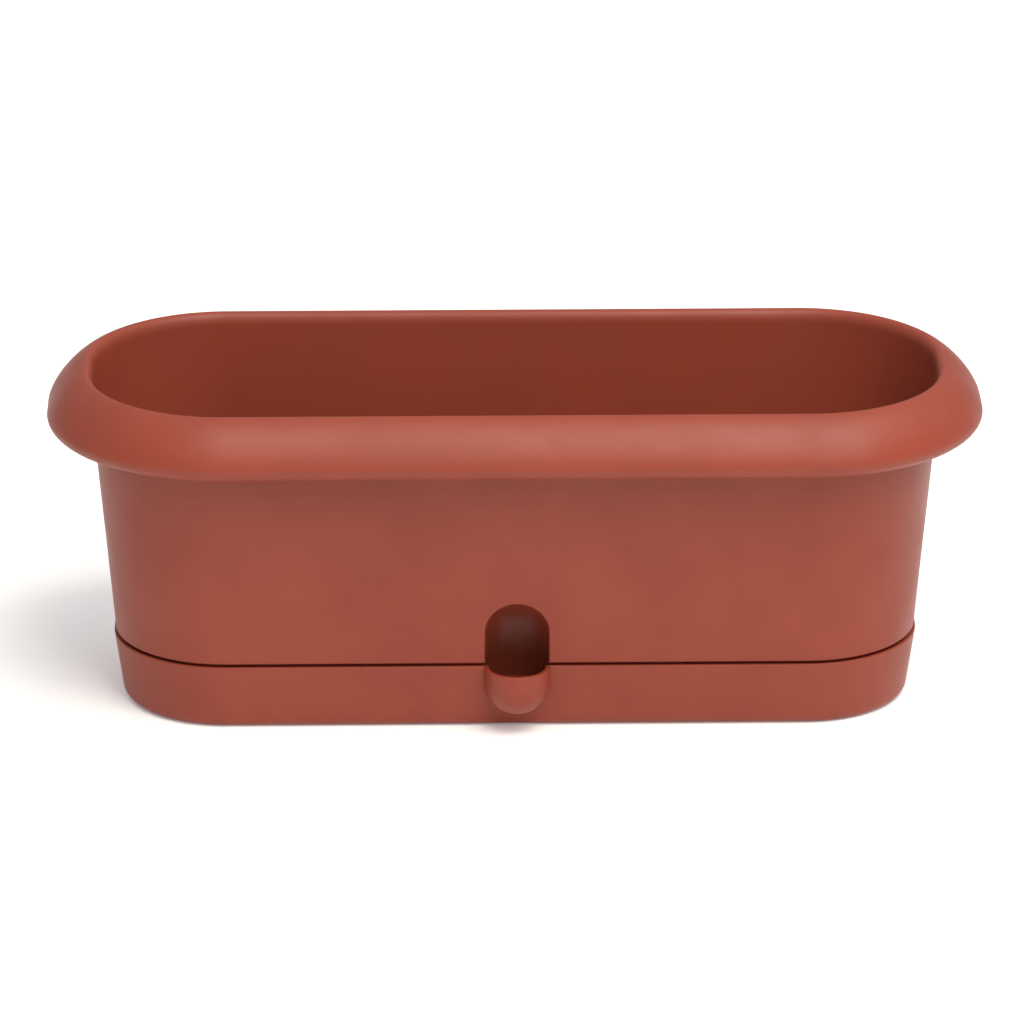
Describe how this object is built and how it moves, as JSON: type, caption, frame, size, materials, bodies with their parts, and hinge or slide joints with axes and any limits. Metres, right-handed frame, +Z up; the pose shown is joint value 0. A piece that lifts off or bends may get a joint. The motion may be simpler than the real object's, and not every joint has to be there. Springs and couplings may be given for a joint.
{
  "type": "self-watering planter",
  "caption": "Stadium-shaped terracotta plastic window planter with a rolled rim, nested over a water tray that is filled through a domed well in its long side.",
  "frame": {"origin": "middle of the face that stands on the floor: the middle of the bottom of the whole planter's box", "axes": "+X along the planter's length, +Z up, and the filling well is on the -Y side"},
  "size_m": [0.4, 0.167, 0.1468],
  "materials": {
    "shell_plastic": "terracotta polypropylene with a very fine moulded grain",
    "grid_plastic": "dark grey recycled polypropylene, plain moulded",
    "wick_felt": "off-white needle-punched synthetic felt"
  },
  "bodies": {
    "tray": {"water_tray": "shell_plastic"},
    "pot": {"planting_pot": "shell_plastic"},
    "grid_left": {"grid_tile_left": "grid_plastic", "felt_wick_left_inner": "wick_felt", "felt_wick_left_outer": "wick_felt"},
    "grid_right": {"grid_tile_right": "grid_plastic", "felt_wick_right_inner": "wick_felt", "felt_wick_right_outer": "wick_felt"}
  },
  "joints": [
    {"name": "pot_lift", "type": "slide", "parent": "tray", "child": "pot", "axis": [0, 0, 1], "range_m": [0, 0.1]},
    {"name": "grid_left_lift", "type": "slide", "parent": "pot", "child": "grid_left", "axis": [0, 0, 1], "range_m": [0, 0.16]},
    {"name": "grid_right_lift", "type": "slide", "parent": "pot", "child": "grid_right", "axis": [0, 0, 1], "range_m": [0, 0.16]}
  ]
}
